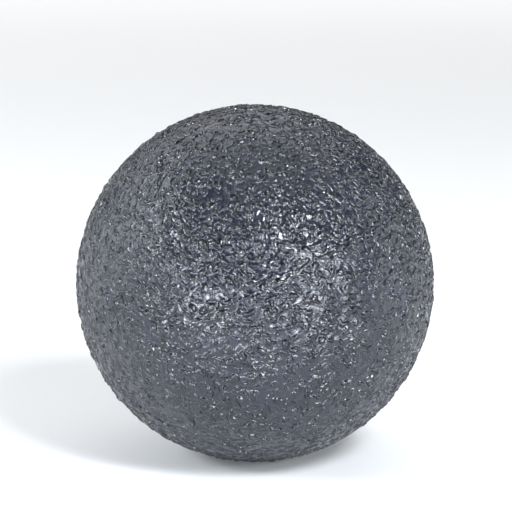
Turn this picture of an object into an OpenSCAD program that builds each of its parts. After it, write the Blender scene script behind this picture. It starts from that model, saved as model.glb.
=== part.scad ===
// Friction ball for opening screw-on watch case backs.
// A soft gel core sealed inside a tacky, grained skin that is moulded as two half shells.
// Millimetres, +Z up. The ball lies on its own small settled flat, whose centre is the origin.

/* [Ball] */
// Outer diameter of the ball
ball_d = 60; // [50:1:70]
// Thickness of the moulded grip skin
skin_t = 4; // [3.5:0.5:6]
// Diameter of the flat on which the soft ball settles under its own weight
settled_d = 10; // [8:0.5:14]

/* [Moulding axis as the ball lies] */
// Sideways lean of the axis through the two mould halves
axis_lean = 28; // [26:1:40]
// Backward lean of the same axis
axis_pitch = 8; // [0:1:20]

/* [Shell joint] */
// Depth of the upper shell's locating lip in the lower shell's rebate
lip_h = 1.2; // [0.8:0.1:2]
// Radial thickness of the locating lip
lip_t = 1; // [0.6:0.1:1.2]
// Radial width of the bond ring
bond_w = 1.2; // [0.8:0.1:1.4]
// Height of the bond ring, half of it in each shell
bond_h = 2.4; // [1.6:0.2:4]

/* [Filling port] */
// Diameter of the plug's head in its counterbore
plug_head_d = 8; // [7:0.5:10]
// Depth of the counterbore, from the ball's surface at the pole
plug_head_h = 1.8; // [1:0.1:2.4]
// Diameter of the plug's stem through the skin
plug_stem_d = 5; // [3:0.5:6]

/* [Hidden] */
$fn = 128;

ball_r = ball_d / 2;
core_r = ball_r - skin_t;
// the bond ring runs a little outside the middle of the skin, clear of the lip
bond_r = ball_r - 0.4 * skin_t;
// height of the ball's centre once its underside has settled flat
centre_z = sqrt(pow(ball_r, 2) - pow(settled_d / 2, 2));
// reach of the cutting blocks and drills past the ball's surface
past = 2;

// Leans a shape drawn about the moulding axis the way the ball lies
module as_it_lies() {
    translate([0, 0, centre_z]) rotate([-axis_pitch, -axis_lean, 0]) children();
}

// Round bar on the moulding axis, from height z0 up to height z1
module bar(d, z0, z1) {
    translate([0, 0, z0]) cylinder(d = d, h = z1 - z0);
}

// One side of the seam plane: up = 1 keeps the upper half, up = -1 the lower half
module seam_side(up) {
    side = ball_r + past;
    translate([-side, -side, up > 0 ? 0 : -side]) cube([2 * side, 2 * side, side]);
}

// Hollow skin of the whole ball, before it is parted
module skin() {
    difference() {
        sphere(r = ball_r);
        sphere(r = core_r);
    }
}

// Ring that stands in the groove shared by both rims
module bond_section() {
    difference() {
        bar(2 * bond_r + bond_w, -bond_h / 2, bond_h / 2);
        bar(2 * bond_r - bond_w, -bond_h / 2 - past, bond_h / 2 + past);
    }
}

// Locating lip on the inner edge of the upper rim
module lip() {
    intersection() {
        skin();
        bar(2 * (core_r + lip_t), -lip_h, 0);
    }
}

// Stepped shape that fills the port, head outwards at the lower pole
module port_shape() {
    bar(plug_head_d, -ball_r - past, -ball_r + plug_head_h);
    bar(plug_stem_d, -ball_r, -core_r + past);
}

// Everything under the surface that the ball lies on
module below_bench() {
    side = ball_d;
    translate([-side, -side, -side]) cube([2 * side, 2 * side, side]);
}

module upper_grip_shell() {
    color([0.27, 0.29, 0.34]) as_it_lies() difference() {
        union() {
            intersection() {
                skin();
                seam_side(1);
            }
            lip();
        }
        bond_section();
    }
}

module lower_grip_shell() {
    color([0.24, 0.26, 0.31]) difference() {
        as_it_lies() difference() {
            intersection() {
                skin();
                seam_side(-1);
            }
            lip();
            bond_section();
            port_shape();
        }
        below_bench();
    }
}

module seam_bond_ring() {
    color([0.42, 0.44, 0.5]) as_it_lies() bond_section();
}

module gel_core() {
    color([0.5, 0.52, 0.58]) as_it_lies() sphere(r = core_r);
}

module fill_plug() {
    color([0.2, 0.21, 0.25]) as_it_lies() intersection() {
        skin();
        port_shape();
    }
}

upper_grip_shell();
lower_grip_shell();
seam_bond_ring();
gel_core();
fill_plug();
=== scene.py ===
"""Friction ball for opening watch cases: grained skin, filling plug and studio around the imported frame."""

import math

import bmesh
import bpy
import numpy as np
from bpy.props import (
    FloatProperty,
    FloatVectorProperty,
    IntProperty,
    PointerProperty,
)
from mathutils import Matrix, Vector
from mathutils.kdtree import KDTree


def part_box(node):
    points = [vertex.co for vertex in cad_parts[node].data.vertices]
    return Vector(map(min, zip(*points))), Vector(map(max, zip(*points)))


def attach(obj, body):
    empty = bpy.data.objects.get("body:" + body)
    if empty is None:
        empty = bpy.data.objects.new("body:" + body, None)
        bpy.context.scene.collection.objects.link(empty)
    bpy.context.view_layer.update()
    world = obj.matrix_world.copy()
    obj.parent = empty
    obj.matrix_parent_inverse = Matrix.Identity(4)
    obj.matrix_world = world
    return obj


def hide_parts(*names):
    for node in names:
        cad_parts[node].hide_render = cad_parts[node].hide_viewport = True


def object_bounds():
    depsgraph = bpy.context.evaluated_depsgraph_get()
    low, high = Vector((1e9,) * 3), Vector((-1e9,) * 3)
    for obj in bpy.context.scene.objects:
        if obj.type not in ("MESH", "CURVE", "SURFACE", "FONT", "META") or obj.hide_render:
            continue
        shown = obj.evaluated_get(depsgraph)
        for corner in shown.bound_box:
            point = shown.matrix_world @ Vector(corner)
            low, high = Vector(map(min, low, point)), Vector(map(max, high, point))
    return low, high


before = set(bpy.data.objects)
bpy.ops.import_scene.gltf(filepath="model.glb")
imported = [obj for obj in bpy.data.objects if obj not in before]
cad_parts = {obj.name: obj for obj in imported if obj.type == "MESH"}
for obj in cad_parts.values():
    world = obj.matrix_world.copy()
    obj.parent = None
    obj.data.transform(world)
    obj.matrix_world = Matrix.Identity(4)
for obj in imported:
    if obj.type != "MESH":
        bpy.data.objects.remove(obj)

CAD_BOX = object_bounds()

bl_info = {
    "name": "Friction Ball",
    "version": (1, 0, 0),
    "blender": (4, 5, 0),
    "location": "View3D > Sidebar > Friction Ball",
    "description": "Grained gel ball that grips a watch case back",
    "category": "Add Mesh",
}

MM = 0.001
BODY = "root"


# ---------------------------------------------------------------- measured from the frame


def node_points(name):
    """Vertices of a CAD node, one row each."""
    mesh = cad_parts[name].data
    flat = np.empty(len(mesh.vertices) * 3, np.float32)
    mesh.vertices.foreach_get("co", flat)
    return flat.reshape(-1, 3).astype(float)


def moulding_axes(ring, centre):
    """Three unit rows: two across the moulding axis, then the axis itself, pointing up."""
    axes = np.linalg.svd(ring - centre, full_matrices=False)[2]
    up = axes[2] * np.sign(axes[2][2])
    across = np.cross((0.0, 1.0, 0.0), up)
    across /= np.linalg.norm(across)
    return np.array([across, np.cross(up, across), up])


core_low, core_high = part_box("gel_core")
CENTRE = np.array((core_low + core_high) / 2)
CORE_R = (core_high - core_low).z / 2
BALL_R = CAD_BOX[1].z - CENTRE[2]
AXES = moulding_axes(node_points("seam_bond_ring"), CENTRE)


def to_world(local):
    """Points drawn about the moulding axis, in the row frame."""
    return local @ AXES + CENTRE


def spans(name):
    """Distance from the moulding axis and height along it, for each vertex of a CAD node."""
    local = (node_points(name) - CENTRE) @ AXES.T
    return np.hypot(local[:, 0], local[:, 1]), local[:, 2]


ring_radii, ring_heights = spans("seam_bond_ring")
GROOVE_IN, GROOVE_OUT, GROOVE_H = ring_radii.min(), ring_radii.max(), ring_heights.max()

shell_radii, shell_heights = spans("upper_grip_shell")
LIP_H = -shell_heights.min()
LIP_R = shell_radii[shell_heights < -LIP_H / 2].max()

plug_radii, plug_heights = spans("fill_plug")
HEAD_R = plug_radii.max()
HEAD_BASE = plug_heights[plug_radii > 0.99 * HEAD_R].max()
STEM_R = plug_radii[plug_heights > HEAD_BASE + 0.1 * MM].max()


# ---------------------------------------------------------------- what a user may change


class GrainSettings(bpy.types.PropertyGroup):
    """Relief of the moulded grain"""

    pitch: FloatProperty(
        name="Pitch", description="Distance from droplet to droplet", default=1.5 * MM, unit="LENGTH"
    )
    relief: FloatProperty(
        name="Relief", description="Height of the tallest droplets", default=0.4 * MM, unit="LENGTH"
    )
    droplet: FloatProperty(
        name="Droplet", description="Mean radius of a droplet", default=0.57 * MM, unit="LENGTH"
    )
    worm_share: FloatProperty(
        name="Worm share", description="Share of long droplets", default=0.45, subtype="FACTOR"
    )
    seed: IntProperty(name="Seed", description="Draw of the random grain", default=7)


class SkinSettings(bpy.types.PropertyGroup):
    """Finish of the tacky skin"""

    ground_colour: FloatVectorProperty(
        name="Ground colour", description="Gel of the ground", subtype="COLOR", default=(0.007, 0.009, 0.017)
    )
    # colour of the droplets: darker than the ground, as painted shade of their steep sides
    droplet_shade_colour: FloatVectorProperty(
        name="Droplet colour", description="Gel of droplets", subtype="COLOR", default=(0.002, 0.003, 0.007)
    )
    haze_colour: FloatVectorProperty(
        name="Haze colour", description="Handled, dusty gel", subtype="COLOR", default=(0.075, 0.078, 0.085)
    )
    roughness: FloatProperty(
        name="Roughness", description="Mean roughness of the gel", default=0.07, subtype="FACTOR"
    )
    steepening: FloatProperty(
        name="Steepening", description="Height added in the grain's shading", default=0.34 * MM, unit="LENGTH"
    )
    thread_height: FloatProperty(
        name="Thread height", description="Height of the finest ridges", default=0.016 * MM, unit="LENGTH"
    )


class StageSettings(bpy.types.PropertyGroup):
    """Floor, lights and camera"""

    floor_colour: FloatVectorProperty(
        name="Floor colour", description="Pale seamless floor", subtype="COLOR", default=(0.72, 0.72, 0.72)
    )
    sky: FloatProperty(name="Sky", description="Strength of the even studio light", default=0.05)
    key: FloatProperty(name="Key", description="Strength of the lamps", default=1.0)
    camera_distance: FloatProperty(
        name="Camera distance", description="From the ball's centre", default=0.45, unit="LENGTH"
    )
    camera_elevation: FloatProperty(
        name="Camera elevation", description="Above the horizon", default=math.radians(12), unit="ROTATION"
    )


class BallSettings(bpy.types.PropertyGroup):
    """Everything that a user may change on the ball"""

    grain: PointerProperty(type=GrainSettings, name="Grain", description="Relief of the grain")
    skin: PointerProperty(type=SkinSettings, name="Skin", description="Finish of the skin")
    stage: PointerProperty(type=StageSettings, name="Stage", description="Floor, lights, camera")


# ---------------------------------------------------------------- shader expressions


class Signal:
    """A shader socket that takes part in Python arithmetic: each operation adds its Math node."""

    def __init__(self, shader, socket):
        self.shader = shader
        self.socket = socket

    def math(self, operation, *values):
        inputs = dict(enumerate((self, *values)))
        return self.shader.node("ShaderNodeMath", {"operation": operation}, inputs)

    def __add__(self, other):
        return self.math("ADD", other)

    def __sub__(self, other):
        return self.math("SUBTRACT", other)

    def __rsub__(self, other):
        return self.shader.node("ShaderNodeMath", {"operation": "SUBTRACT"}, {0: other, 1: self})

    def __mul__(self, other):
        return self.math("MULTIPLY", other)

    def __abs__(self):
        return self.math("ABSOLUTE")

    __radd__ = __add__
    __rmul__ = __mul__


class Shader:
    """The node tree of a material or a world, written as expressions."""

    def __init__(self, owner):
        self.owner = owner
        owner.use_nodes = True
        self.tree = owner.node_tree
        self.tree.nodes.clear()

    def node(self, kind, settings=None, inputs=None, output=0):
        """Adds a node: its type, its settings, then the values or links of its sockets."""
        made = self.tree.nodes.new(kind)
        for name, value in (settings or {}).items():
            setattr(made, name, value)
        for key, value in (inputs or {}).items():
            if isinstance(value, Signal):
                self.tree.links.new(value.socket, made.inputs[key])
            else:
                made.inputs[key].default_value = value
        return Signal(self, made.outputs[output] if made.outputs else None)

    def place(self):
        """Position on the ball, in metres."""
        return self.node("ShaderNodeTexCoord", output="Object")

    def noise(self, size, detail=2.0, output=0):
        """Smooth random pattern from 0 to 1, whose features are about size metres across."""
        inputs = {"Vector": self.place(), "Scale": 1 / size, "Detail": detail}
        return self.node("ShaderNodeTexNoise", {}, inputs, output)

    def spread(self, value, low, high):
        """value, taken from the range low to high onto 0 to 1, eased at both ends."""
        inputs = {0: value, 1: low, 2: high, 3: 0.0, 4: 1.0}
        return self.node("ShaderNodeMapRange", {"interpolation_type": "SMOOTHSTEP"}, inputs)

    def mix(self, factor, low, high):
        """Colour between low and high."""
        inputs = {0: factor, 6: low, 7: high}
        return self.node("ShaderNodeMix", {"data_type": "RGBA"}, inputs, output=2)

    def bump(self, height, depth):
        """Normal of a surface raised by height times depth metres."""
        return self.node("ShaderNodeBump", {}, {"Height": height, "Distance": depth})

    def finish(self, inputs):
        """Closes the tree with one Principled shader and returns the material."""
        surface = self.node("ShaderNodeBsdfPrincipled", {}, inputs)
        self.node("ShaderNodeOutputMaterial", {}, {"Surface": surface})
        return self.owner


def material(name):
    """A new, empty material, to be written as expressions."""
    return Shader(bpy.data.materials.new(name))


def opaque(colour):
    """Colour with full alpha, as a colour socket takes it."""
    return (*colour, 1.0)


GEL_IOR = 1.54
CORE_IOR = 1.45
ELASTOMER_IOR = 1.47


def grip_skin_material(skin):
    """Glossy gel: droplets painted near-black as painted shade of their steep sides, on a duller ground,
    crossed by fine curled ridges.
    """
    shader = material("grip_skin_gel")
    height = shader.node("ShaderNodeAttribute", {"attribute_name": "grain"}, output="Fac")
    patches = shader.noise(size=14 * MM, detail=3.0)
    specks = shader.noise(size=0.9 * MM, detail=3.0)
    raised = shader.spread(height, low=0.1, high=0.35)
    # droplets mixed near-black over the ground's gel colour: painted shade of their steep sides
    gel = shader.mix(raised, opaque(skin.ground_colour), opaque(skin.droplet_shade_colour))
    handled = shader.spread(patches, low=0.42, high=0.78)
    dusty = shader.spread(specks, low=0.6, high=0.8)
    colour = shader.mix(handled * 0.07 + dusty * 0.05, gel, opaque(skin.haze_colour))
    # both run from 0 on the middle line of a ridge to 1 beside it
    curls = shader.spread(abs(shader.noise(size=0.8 * MM, detail=1.5) - 0.5), low=0.0, high=0.07)
    threads = shader.spread(abs(shader.noise(size=0.55 * MM, detail=1.0) - 0.47), low=0.0, high=0.09)
    ridges = curls * 0.65 + threads * 0.35
    steepening, thread_height = skin.steepening / MM, skin.thread_height / MM
    dull = (1 - raised) * (0.3 + 0.7 * curls)
    roughness = skin.roughness + dull * 0.12 + (patches - 0.5) * 0.1 + (specks - 0.5) * 0.1
    return shader.finish(
        {
            "Base Color": colour,
            "Roughness": roughness,
            "Normal": shader.bump(height * steepening - ridges * thread_height, depth=MM),
            "IOR": GEL_IOR,
            "Subsurface Weight": 0.06,
            "Subsurface Radius": (1.0, 0.95, 0.9),
            "Subsurface Scale": 1.2 * MM,
            "Sheen Weight": 0.035,
            "Sheen Roughness": 0.5,
            "Sheen Tint": (0.85, 0.87, 0.8, 1.0),
        }
    )


def plug_material():
    """Firmer elastomer of the plug: satin, with a fine moulded texture."""
    shader = material("plug_elastomer")
    patches = shader.noise(size=3 * MM, detail=3.0)
    specks = shader.noise(size=0.25 * MM, detail=3.0)
    colour = shader.mix(patches, (0.045, 0.049, 0.064, 1), (0.075, 0.08, 0.1, 1))
    roughness = 0.42 + (specks - 0.5) * 0.3
    normal = shader.bump(specks, depth=0.03 * MM)
    return shader.finish(
        {"Base Color": colour, "Roughness": roughness, "Normal": normal, "IOR": ELASTOMER_IOR}
    )


def core_material():
    """Wet, cloudy gel of the core, with faint swirls left by the pour."""
    shader = material("soft_gel")
    swirls = shader.noise(size=9 * MM, detail=4.0)
    bubbles = shader.noise(size=0.8 * MM, detail=2.0)
    colour = shader.mix(swirls, (0.11, 0.12, 0.155, 1), (0.19, 0.2, 0.25, 1))
    roughness = 0.12 + bubbles * 0.15
    normal = shader.bump(bubbles, depth=0.02 * MM)
    return shader.finish(
        {
            "Base Color": colour,
            "Roughness": roughness,
            "Normal": normal,
            "Subsurface Weight": 0.5,
            "Subsurface Scale": 2 * MM,
            "IOR": CORE_IOR,
        }
    )


def bond_material():
    """Satin elastomer of the bond ring, slightly uneven from being squeezed out."""
    shader = material("bond_elastomer")
    ripples = shader.noise(size=1.5 * MM, detail=3.0)
    colour = shader.mix(ripples, (0.1, 0.108, 0.13, 1), (0.16, 0.17, 0.2, 1))
    roughness = 0.4 + (ripples - 0.5) * 0.2
    normal = shader.bump(ripples, depth=0.04 * MM)
    return shader.finish(
        {"Base Color": colour, "Roughness": roughness, "Normal": normal, "IOR": ELASTOMER_IOR}
    )


# ---------------------------------------------------------------- grain


def eased(value, low, high):
    """0 below low, 1 above high, smooth between."""
    share = np.clip((value - low) / (high - low), 0, 1)
    return share * share * (3 - 2 * share)


def random_directions(rng, count):
    """Unit vectors, evenly random."""
    found = rng.normal(size=(count, 3))
    return found / np.linalg.norm(found, axis=1, keepdims=True)


def ridge(value, width):
    """1 where value is zero, falling to nothing a few widths away."""
    return np.exp(-((value / width) ** 2))


class Waves:
    """Smooth random field with unit spread: a sum of plane waves near one wavelength."""

    def __init__(self, rng, wavelength, variety=0.3, count=48):
        lengths = wavelength * rng.uniform(1 - variety, 1 + variety, count)
        self.pull = random_directions(rng, count) * (2 * math.pi / lengths)[:, None]
        self.phase = rng.uniform(0, 2 * math.pi, count)

    def __call__(self, points):
        return np.cos(points @ self.pull.T + self.phase).mean(axis=1) * math.sqrt(2 * len(self.phase))


class Grain:
    """Moulded grain: glossy droplets, round or drawn out into worms, on a flatter ground."""

    neighbours = 8
    # spacing and drift, as shares of the pitch
    evenness = 0.98
    jitter = 0.26
    warping = 0.11
    # ranges of the droplets' random sizes, stretches, bends, dents and heights
    sizes = (0.55, 1.4)
    stretches = (0.3, 1.6)
    bends = (-0.5, 0.5)
    dents = (0.35, 0.8)
    heights = (0.6, 1.0)
    # how much a worm narrows, how many droplets are dented, how wide a dent is, how low a droplet may be
    narrowing = 0.35
    dented_share = 0.7
    dent_width = 0.4
    lowest = 0.3
    # share of a droplet's profile that is ball-shaped: nearer 1, steeper at its foot
    roundness = 0.6
    # what each part adds to the relief, from 0 to 1
    base = 0.06
    droplet_part = 0.74
    curl_part = 0.2
    ground_part = 0.04
    fine_part = 0.003
    # half widths of the short and long curls, as levels of their waves
    short_curl_width = 0.4
    long_curl_width = 0.24

    def __init__(self, settings):
        self.settings = settings
        rng = np.random.default_rng(settings.seed)
        pitch = settings.pitch
        self.warp = [Waves(rng, 1.1 * pitch) for _ in range(3)]
        self.level = Waves(rng, 8 * pitch)
        self.ground = Waves(rng, 1.05 * pitch)
        self.fine = Waves(rng, 0.4 * pitch)
        self.curl = Waves(rng, 1.2 * pitch)
        self.long_curl = Waves(rng, 2.2 * pitch)
        self.zone = Waves(rng, 3.5 * pitch)
        self.streaks = Waves(rng, 0.55 * MM, 0.4)
        self.scatter(rng)
        self.marks = self.hairlines(np.random.default_rng(settings.seed + 1))
        self.tree = KDTree(len(self.seeds))
        for index, seed in enumerate(self.seeds):
            self.tree.insert(seed, index)
        self.tree.balance()

    def scatter(self, rng):
        """Middles, axes, lengths, widths, bends, dents and heights of the droplets."""
        pitch, droplet = self.settings.pitch, self.settings.droplet
        count = int(4 * math.pi * BALL_R**2 / (self.evenness * pitch**2))
        order = np.arange(count) + 0.5
        height = 1 - 2 * order / count
        turn = order * math.pi * (3 - math.sqrt(5))
        wide = np.sqrt(1 - height**2)
        spots = BALL_R * np.stack([wide * np.cos(turn), wide * np.sin(turn), height], axis=1)
        spots += rng.normal(scale=self.jitter * pitch, size=spots.shape)
        out = spots / np.linalg.norm(spots, axis=1, keepdims=True)
        self.seeds = BALL_R * out
        along = np.cross(out, random_directions(rng, count))
        self.along = along / np.linalg.norm(along, axis=1, keepdims=True)
        self.across = np.cross(out, self.along)
        size = droplet * rng.uniform(*self.sizes, count)
        worms = rng.random(count) < self.settings.worm_share
        stretch = 1 + worms * rng.uniform(*self.stretches, count)
        self.width = size / stretch**self.narrowing
        self.length = self.width * stretch
        self.bend = rng.uniform(*self.bends, count) / self.length
        dented = rng.random(count) < self.dented_share
        self.dent = dented * rng.uniform(*self.dents, count)
        tall = rng.uniform(*self.heights, count) * np.sqrt(self.width / droplet)
        self.tall = np.clip(tall, self.lowest, 1)

    def hairlines(self, rng):
        """Both ends of each hairline flow mark, as rows of unit vectors."""
        first = random_directions(rng, MARKS)
        heading = np.cross(first, random_directions(rng, MARKS))
        heading /= np.linalg.norm(heading, axis=1, keepdims=True)
        reach = rng.uniform(*MARK_LENGTHS, MARKS)[:, None] / BALL_R
        return first, np.cos(reach) * first + np.sin(reach) * heading

    def droplets(self, points):
        """Height of the droplets, from 0 on the ground to 1 on the tallest."""
        drift = np.stack([warp(points) for warp in self.warp], axis=1)
        moved = points + self.warping * self.settings.pitch * drift
        found = [self.tree.find_n(point, self.neighbours) for point in moved]
        index = np.array([[hit[1] for hit in row] for row in found])
        away = moved[:, None, :] - self.seeds[index]
        along = (away * self.along[index]).sum(axis=2)
        across = (away * self.across[index]).sum(axis=2) + self.bend[index] * along**2
        reach = (along / self.length[index]) ** 2 + (across / self.width[index]) ** 2
        foot = math.sqrt(1 - self.roundness)
        cap = (np.sqrt(1 - self.roundness * np.clip(reach, 0, 1)) - foot) / (1 - foot)
        cap = cap - self.dent[index] * ridge(np.sqrt(reach), self.dent_width)
        return (cap * self.tall[index]).max(axis=1)

    def curls(self, points):
        """Thin curled ridges on the ground, in places, and a few long ones all over."""
        places = 0.3 + 0.7 * eased(self.zone(points), -0.8, 0.8)
        short = ridge(self.curl(points), self.short_curl_width) * places
        return np.maximum(short, 0.9 * ridge(self.long_curl(points), self.long_curl_width))

    def seam(self, points, relief):
        """Relief with the parting line: short drawn streaks on both sides of a faint, broken ridge."""
        height = points[:, 2]
        azimuth = np.arctan2(points[:, 1], points[:, 0])
        turn = STREAK_SWEEP * BALL_R
        swept = np.stack([turn * np.cos(azimuth), turn * np.sin(azimuth), height], axis=1)
        drawn = STREAK_LEVEL + STREAK_RISE * self.streaks(swept)
        near = ridge(height, STREAK_WIDTH) * np.clip(0.5 + 0.35 * self.level(points), 0.1, 0.8)
        relief = relief + (drawn - relief) * near
        unbroken = np.clip(0.5 + self.level(points[:, ::-1]), 0, 1)
        line = LINE_SHARE * ridge(height, LINE_WIDTH) * unbroken
        return relief + (LINE_LEVEL - relief) * line

    def flow_marks(self, points, relief):
        """Relief with the hairline marks that the gel's flow left in the skin."""
        out = points / BALL_R
        for first, last in zip(*self.marks):
            pole = np.cross(first, last)
            pole /= np.linalg.norm(pole)
            run = np.minimum(out @ np.cross(pole, first), out @ np.cross(last, pole)) * BALL_R
            mark = MARK_SHARE * ridge(out @ pole * BALL_R, MARK_WIDTH) * eased(run, *MARK_END)
            relief = relief + (MARK_LEVEL - relief) * mark
        return relief

    def __call__(self, points):
        """Relief from 0 to 1 at points on the ball's surface, given about the moulding axis."""
        relief = self.droplets(points)
        uneven = self.ground_part * self.ground(points)
        uneven += self.fine_part * self.fine(points) * (0.4 + relief)
        relief = self.base + self.droplet_part * relief + self.curl_part * self.curls(points) + uneven
        relief = self.flow_marks(points, self.seam(points, relief))
        off_axis = np.hypot(points[:, 0], points[:, 1])
        port = eased(off_axis, HEAD_R + PORT_SMOOTH[0], HEAD_R + PORT_SMOOTH[1])
        port = np.where(points[:, 2] < 0, port, 1.0)
        return np.clip(0.5 + (relief - 0.5) * port, 0, 1)


# streaks beside the parting line: their sweep as a share of the radius, how far they reach, their level
STREAK_SWEEP = 0.3
STREAK_WIDTH = 1.0 * MM
STREAK_LEVEL = 0.34
STREAK_RISE = 0.13

# the parting line itself: how much of it shows, its half width and its level
LINE_SHARE = 0.3
LINE_WIDTH = 0.1 * MM
LINE_LEVEL = 0.6

# the skin turns smooth between these distances outside the filling port
PORT_SMOOTH = (0.15 * MM, 0.9 * MM)

# hairline flow marks: how many, how much of them shows, half width, level, lengths and how their ends fade
MARKS = 7
MARK_SHARE = 0.8
MARK_WIDTH = 0.12 * MM
MARK_LEVEL = 0.7
MARK_LENGTHS = (5 * MM, 11 * MM)
MARK_END = (-0.2 * MM, 0.4 * MM)


# ---------------------------------------------------------------- mesh building


class Build:
    """Collects the points and faces of one closed piece, drawn about the moulding axis."""

    def __init__(self):
        self.points = []
        self.faces = []
        self.count = 0

    def add(self, points):
        """Adds points and returns their numbers."""
        points = np.asarray(points, float)
        self.points.append(points)
        self.count += len(points)
        return np.arange(self.count - len(points), self.count)

    def loop(self, radius, height, count):
        """Adds a circle about the moulding axis."""
        turn = 2 * math.pi * np.arange(count) / count
        ring = [radius * np.cos(turn), radius * np.sin(turn), np.full(count, height)]
        return self.add(np.stack(ring, axis=1))

    def strip(self, coarse, dense):
        """Joins two loops, of which the dense one may have a whole multiple of the other's points."""
        after = np.roll(coarse, -1)
        if len(coarse) == len(dense):
            self.faces += np.stack([coarse, after, np.roll(dense, -1), dense], axis=1).tolist()
            return
        share = len(dense) // len(coarse)
        half = share // 2
        for i, (here, there) in enumerate(zip(coarse, after)):
            fan = [dense[(i * share + j) % len(dense)] for j in range(share + 1)]
            self.faces += [[here, fan[j + 1], fan[j]] for j in range(half)]
            self.faces.append([here, there, fan[half]])
            self.faces += [[there, fan[j + 1], fan[j]] for j in range(half, share)]

    def turned(self, loop, profile):
        """Turns a profile of (radius, height) points on from a loop. Returns the last loop."""
        for radius, height in profile:
            after = self.loop(radius, height, TURNED_POINTS)
            self.strip(after, loop)
            loop = after
        return loop

    def cap(self, loop, height):
        """Closes a loop with a fan to one point on the moulding axis."""
        tip = self.add([(0, 0, height)])[0]
        self.faces += [[a, b, tip] for a, b in zip(loop, np.roll(loop, -1))]

    def piece(self, name, material, slot, relief=None):
        """Makes the Blender object, with its faces turned outwards, riding on the ball."""
        local = np.concatenate(self.points)
        mesh = bpy.data.meshes.new(name)
        mesh.from_pydata(to_world(local).tolist(), [], self.faces)
        if relief is not None:
            grain = np.ones(len(local), np.float32)
            grain[: len(relief)] = relief
            mesh.attributes.new("grain", "FLOAT", "POINT").data.foreach_set("value", grain)
        edit = bmesh.new()
        edit.from_mesh(mesh)
        bmesh.ops.recalc_face_normals(edit, faces=edit.faces)
        edit.to_mesh(mesh)
        edit.free()
        mesh.shade_smooth()
        mesh.set_sharp_from_angle(angle=SHARP)
        mesh.materials.append(material)
        made = bpy.data.objects.new(name, mesh)
        bpy.context.scene.collection.objects.link(made)
        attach(made, BODY)
        return made


SHARP = math.radians(62)
TURNED_POINTS = 120
RINGS = 300
WALL_RINGS = 18
POLE_SHARE = 0.06
PORT_RING = TURNED_POINTS // 8


def disc_lattice(rings, hole):
    """A square lattice bent onto a disc: ring number and azimuth of each point, and its quads.

    Rings below hole are left out, so the disc has a round opening with 8 * hole points.
    """
    side = np.arange(-rings, rings + 1)
    u, v = np.meshgrid(side, side, indexing="ij")
    ring = np.maximum(abs(u), abs(v))
    wide = abs(u) >= abs(v)
    with np.errstate(divide="ignore", invalid="ignore"):
        azimuth = np.where(wide, math.pi / 4 * v / u, math.pi / 2 - math.pi / 4 * u / v)
    azimuth = np.nan_to_num(azimuth) + math.pi * np.where(wide, u < 0, v < 0)
    kept = ring >= hole
    number = np.where(kept, np.cumsum(kept).reshape(kept.shape) - 1, -1)
    quads = np.stack([number[:-1, :-1], number[1:, :-1], number[1:, 1:], number[:-1, 1:]], axis=-1)
    quads = quads.reshape(-1, 4)
    return ring[kept], azimuth[kept] % (2 * math.pi), quads[(quads >= 0).all(axis=1)]


def edge_loop(ring, azimuth, number):
    """Points of one ring, in order of azimuth."""
    found = np.flatnonzero(ring == number)
    return found[np.argsort(azimuth[found])]


def outer_skin(build, grain, side, hole=0, hole_r=0.0):
    """Grained outside of one half: side 1 is the upper, -1 the lower. Returns its relief and edge loops."""
    ring, azimuth, quads = disc_lattice(RINGS, hole)
    start = math.sqrt(1 - math.sqrt(1 - (hole_r / BALL_R) ** 2))
    share = start + (1 - start) * (ring - hole) / (RINGS - hole)
    height = 1 - share**2
    wide = np.sqrt(1 - height**2)
    directions = np.stack([wide * np.cos(azimuth), wide * np.sin(azimuth), side * height], axis=1)
    relief = grain(directions * BALL_R)
    depth = grain.settings.relief * (1 - relief)
    points = directions * (BALL_R - depth)[:, None]
    under = -CENTRE[2] - points @ AXES[:, 2]
    points += np.maximum(under, 0)[:, None] * AXES[:, 2]
    numbers = build.add(points)
    build.faces += numbers[quads].tolist()
    rim_loop = numbers[edge_loop(ring, azimuth, RINGS)]
    return relief, rim_loop, numbers[edge_loop(ring, azimuth, hole)] if hole else None


def rim_profile(side):
    """Rim of a half, from its outer edge inwards: the bond ring's groove, then the lip or its rebate."""
    lip_inside = math.sqrt(CORE_R**2 - LIP_H**2)
    groove = [(GROOVE_OUT, 0), (GROOVE_OUT, side * GROOVE_H), (GROOVE_IN, side * GROOVE_H), (GROOVE_IN, 0)]
    return groove + [(LIP_R, 0), (LIP_R, -LIP_H), (lip_inside, -LIP_H)]


def wall_profile(side, last_r):
    """Round inside of a half, from the lip's inner edge to a radius near the pole."""
    first = math.asin(LIP_H / CORE_R) * -side
    turns = np.linspace(first, math.acos(last_r / CORE_R), WALL_RINGS)[1:]
    return [(CORE_R * math.cos(turn), side * CORE_R * math.sin(turn)) for turn in turns]


def upper_shell(grain, material):
    """Upper half of the skin, with its groove and its locating lip."""
    build = Build()
    relief, rim_loop, _ = outer_skin(build, grain, 1)
    loop = build.turned(rim_loop, rim_profile(1) + wall_profile(1, POLE_SHARE * CORE_R))
    build.cap(loop, CORE_R)
    piece = build.piece("upper_grip_skin", material, "grip_skin", relief)
    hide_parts("upper_grip_shell")


def lower_shell(grain, material):
    """Lower half of the skin, with its groove, the lip's rebate and the stepped filling port."""
    build = Build()
    relief, rim_loop, mouth = outer_skin(build, grain, -1, PORT_RING, HEAD_R)
    loop = build.turned(rim_loop, rim_profile(-1) + wall_profile(-1, STEM_R))
    loop = build.turned(loop, [(STEM_R, HEAD_BASE), (HEAD_R, HEAD_BASE)])
    build.strip(loop, mouth)
    piece = build.piece("lower_grip_skin", material, "grip_skin", relief)
    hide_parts("lower_grip_shell")


# plug: gap round it, depth of its face, its gate mark and the marks turned in it
PLUG_GAP = 0.05 * MM
PLUG_SUNK = 0.16 * MM
GATE_DEPTH = 0.3 * MM
GATE_R = 0.8 * MM
TURNED_DEPTH = 0.015 * MM
TURNED_PITCH = 0.55 * MM


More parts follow.
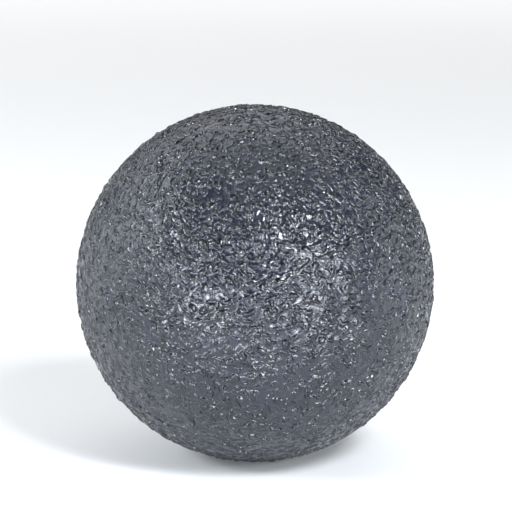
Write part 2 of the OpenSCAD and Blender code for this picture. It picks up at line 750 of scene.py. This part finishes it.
def fill_plug(material):
    """Stepped plug in the filling port: a shallow turned face, a gate mark, a head and a stem."""
    build = Build()
    head, stem = HEAD_R - PLUG_GAP, STEM_R - PLUG_GAP
    radii = np.concatenate([[0.25, 0.5, 0.62, 0.75, 0.95], np.linspace(1.2, 0.94 * head / MM, 40)]) * MM
    sunk = PLUG_SUNK + GATE_DEPTH * eased(GATE_R - radii, 0, GATE_DEPTH)
    turned_marks = TURNED_DEPTH * np.cos(radii * 2 * math.pi / TURNED_PITCH)
    heights = -np.sqrt(BALL_R**2 - radii**2) + sunk + turned_marks
    edge = -math.sqrt(BALL_R**2 - head**2) + 0.2 * MM
    profile = list(zip(radii, heights))
    profile += [(0.975 * head, edge + 0.02 * MM), (head, edge + 0.12 * MM), (head, HEAD_BASE)]
    profile += [(stem, HEAD_BASE), (stem, -math.sqrt(CORE_R**2 - STEM_R**2))]
    profile += [(0.5 * STEM_R, -math.sqrt(CORE_R**2 - STEM_R**2 / 4))]
    first = build.loop(*profile[0], TURNED_POINTS)
    build.cap(first, -BALL_R + PLUG_SUNK + GATE_DEPTH)
    last = build.turned(first, profile[1:])
    build.cap(last, -CORE_R)
    piece = build.piece("turned_fill_plug", material, "plug_elastomer")
    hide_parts("fill_plug")


# ---------------------------------------------------------------- studio


def aimed(place, target):
    """Rotation that points a lamp or camera at place towards target."""
    return (Vector(target) - Vector(place)).to_track_quat("-Z", "Y").to_euler()


def lamp(name, kind, place, power, target=CENTRE, **options):
    """A lamp aimed at the ball's centre, or at another target."""
    data = bpy.data.lights.new(name, kind)
    data.energy = power
    for option, value in options.items():
        setattr(data, option, value)
    made = bpy.data.objects.new(name, data)
    made.location = place
    made.rotation_euler = aimed(place, target)
    made.visible_camera = False
    bpy.context.scene.collection.objects.link(made)


def floor(colour):
    """Pale round floor, far wider than any view, that glows towards its edge to meet the white behind it."""
    shader = material("pale_floor")
    cloud = shader.noise(size=0.4, detail=2.0)
    tint = shader.mix(cloud, opaque(colour), opaque([0.985 * c for c in colour]))
    away = shader.node("ShaderNodeVectorMath", {"operation": "LENGTH"}, {0: shader.place()}, "Value")
    glow = shader.mix(shader.spread(away, *FLOOR_GLOW), BLACK, WHITE)
    finish = shader.finish(
        {
            "Base Color": tint,
            "Roughness": 0.7,
            "Specular IOR Level": 0.2,
            "Emission Color": glow,
            "Emission Strength": FLOOR_GLOW_STRENGTH,
        }
    )
    mesh = bpy.data.meshes.new("floor")
    turns = 2 * math.pi * np.arange(FLOOR_POINTS) / FLOOR_POINTS
    edge = [(FLOOR_R * math.cos(turn), FLOOR_R * math.sin(turn), 0) for turn in turns]
    mesh.from_pydata(edge, [], [list(range(FLOOR_POINTS))])
    mesh.materials.append(finish)
    made = bpy.data.objects.new("floor", mesh)
    bpy.context.scene.collection.objects.link(made)


def studio_air(strength):
    """Even grey light from all round, and a white background behind the floor."""
    world = bpy.data.worlds.new("studio_air")
    shader = Shader(world)
    seen = shader.node("ShaderNodeLightPath", output="Is Camera Ray")
    light = shader.node("ShaderNodeBackground", {}, {"Color": WHITE, "Strength": strength})
    backdrop = shader.node("ShaderNodeBackground", {}, {"Color": WHITE})
    mixed = shader.node("ShaderNodeMixShader", {}, {0: seen, 1: light, 2: backdrop})
    shader.node("ShaderNodeOutputWorld", {}, {"Surface": mixed})
    bpy.context.scene.world = world


def camera(stage):
    """Long lens on the ball, a little above it; the ball sits just below the frame's middle."""
    data = bpy.data.cameras.new("camera")
    distance, rise = stage.camera_distance, stage.camera_elevation
    back = Vector((0, -math.cos(rise), math.sin(rise)))
    up = Vector((0, math.sin(rise), math.cos(rise)))
    centre = Vector(CENTRE)
    half_width = math.tan(math.asin(BALL_R / distance)) / BALL_SHARE
    data.lens = data.sensor_width / 2 / half_width
    data.clip_start = 0.01
    made = bpy.data.objects.new("camera", data)
    made.location = centre + back * distance
    raised = 2 * half_width * distance
    aim = centre + up * raised * AIM_UP + Vector((raised * AIM_RIGHT, 0, 0))
    made.rotation_euler = aimed(made.location, aim)
    bpy.context.scene.collection.objects.link(made)
    bpy.context.scene.camera = made


# share of the frame's width that the ball's outline fills, and where the lens points past its centre
BALL_SHARE = 0.703
AIM_UP = 0.0525
AIM_RIGHT = 0.002

FLOOR_R = 8.0
FLOOR_POINTS = 96
# distances at which the floor's glow starts and is full
FLOOR_GLOW = (0.3, 1.5)
FLOOR_GLOW_STRENGTH = 0.85
WHITE = (1, 1, 1, 1)
BLACK = (0, 0, 0, 1)

# box lamps: direction from the ball's centre, distance, width, height and brightness
LAMPS = (
    ("key", (0.40, -0.67, 0.63), 0.6, 0.16, 0.16, 58.0),
    ("front", (-0.22, -0.95, 0.22), 0.6, 0.12, 0.10, 14.0),
    ("low_left", (-0.66, -0.74, 0.11), 0.6, 0.22, 0.09, 12.0),
    ("low_right", (0.62, -0.78, 0.11), 0.6, 0.18, 0.09, 10.0),
    ("window", (0.76, -0.60, 0.30), 0.6, 0.12, 0.12, 34.0),
    ("left", (-0.8, -0.4, 0.5), 0.6, 0.14, 0.14, 34.0),
    ("left_rim", (-0.9, 0.25, 0.4), 0.6, 0.5, 0.5, 3.0),
    ("right_rim", (0.95, 0.25, 0.25), 0.6, 0.4, 0.4, 2.0),
    ("left_spark", (-0.45, -0.88, -0.12), 0.15, 0.075, 0.012, 48.0),
    ("right_spark", (0.50, -0.85, -0.12), 0.15, 0.075, 0.012, 45.0),
)
LAMP_COLOUR = (0.9, 0.95, 1.0)
SUN_STRENGTH = 0.5
SUN_DIRECTION = (0.1, -0.2, 1)
SUN_WIDTH = math.radians(50)
WASH_PLACE = (-0.3, 1.5, 1.3)
WASH_SIZE = 2.4
WASH_POWER = 26


# ---------------------------------------------------------------- operators


def settings():
    """The ball's settings in this scene."""
    return bpy.context.scene.friction_ball


class FRICTIONBALL_OT_studio(bpy.types.Operator):
    """Lay the floor, hang the lights and set up the camera"""

    bl_idname = "friction_ball.studio"
    bl_label = "Studio"

    def execute(self, context):
        stage = settings().stage
        camera(stage)
        floor(stage.floor_colour)
        studio_air(stage.sky)
        for name, toward, away, wide, tall, glow in LAMPS:
            power = glow * stage.key * math.pi * wide * tall
            place = CENTRE + away * np.array(toward)
            lamp(name, "AREA", place, power, shape="RECTANGLE", color=LAMP_COLOUR, size=wide, size_y=tall)
        lamp("ceiling", "SUN", CENTRE + np.array(SUN_DIRECTION), SUN_STRENGTH, angle=SUN_WIDTH)
        under_wash = (WASH_PLACE[0], WASH_PLACE[1], 0)
        lamp("wash", "AREA", WASH_PLACE, WASH_POWER, target=under_wash, size=WASH_SIZE)
        context.scene.view_settings.view_transform = "Standard"
        return {"FINISHED"}


class FRICTIONBALL_OT_shells(bpy.types.Operator):
    """Mould the two grained half shells of the grip skin"""

    bl_idname = "friction_ball.shells"
    bl_label = "Grip Shells"

    def execute(self, context):
        grain = Grain(settings().grain)
        material = grip_skin_material(settings().skin)
        upper_shell(grain, material)
        lower_shell(grain, material)
        return {"FINISHED"}


class FRICTIONBALL_OT_plug(bpy.types.Operator):
    """Turn the stepped plug that seals the filling port"""

    bl_idname = "friction_ball.plug"
    bl_label = "Fill Plug"

    def execute(self, context):
        fill_plug(plug_material())
        return {"FINISHED"}


class FRICTIONBALL_OT_filling(bpy.types.Operator):
    """Give the gel core and the bond ring their materials"""

    bl_idname = "friction_ball.filling"
    bl_label = "Core and Bond"

    def execute(self, context):
        finishes = {"gel_core": core_material(), "seam_bond_ring": bond_material()}
        for name, material in finishes.items():
            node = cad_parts[name]
            node.data.materials.clear()
            node.data.materials.append(material)
        return {"FINISHED"}


class FRICTIONBALL_PT_panel(bpy.types.Panel):
    """Settings and steps of the friction ball"""

    bl_idname = "FRICTIONBALL_PT_panel"
    bl_label = "Friction Ball"
    bl_space_type = "VIEW_3D"
    bl_region_type = "UI"
    bl_category = "Friction Ball"

    def draw(self, context):
        ball = context.scene.friction_ball
        for part in (ball.grain, ball.skin, ball.stage):
            box = self.layout.box()
            for name in part.__annotations__:
                box.prop(part, name)
        for step in STEPS:
            self.layout.operator(step.bl_idname)


STEPS = (
    FRICTIONBALL_OT_studio,
    FRICTIONBALL_OT_shells,
    FRICTIONBALL_OT_plug,
    FRICTIONBALL_OT_filling,
)
CLASSES = (GrainSettings, SkinSettings, StageSettings, BallSettings, *STEPS, FRICTIONBALL_PT_panel)


def register():
    """Registers the classes and the scene's settings."""
    for part in CLASSES:
        bpy.utils.register_class(part)
    bpy.types.Scene.friction_ball = PointerProperty(type=BallSettings)


def unregister():
    """Removes them again."""
    del bpy.types.Scene.friction_ball
    for part in reversed(CLASSES):
        bpy.utils.unregister_class(part)


def main():
    """Builds the whole model."""
    register()
    bpy.ops.friction_ball.studio()
    bpy.ops.friction_ball.shells()
    bpy.ops.friction_ball.plug()
    bpy.ops.friction_ball.filling()


if __name__ == "__main__":
    main()
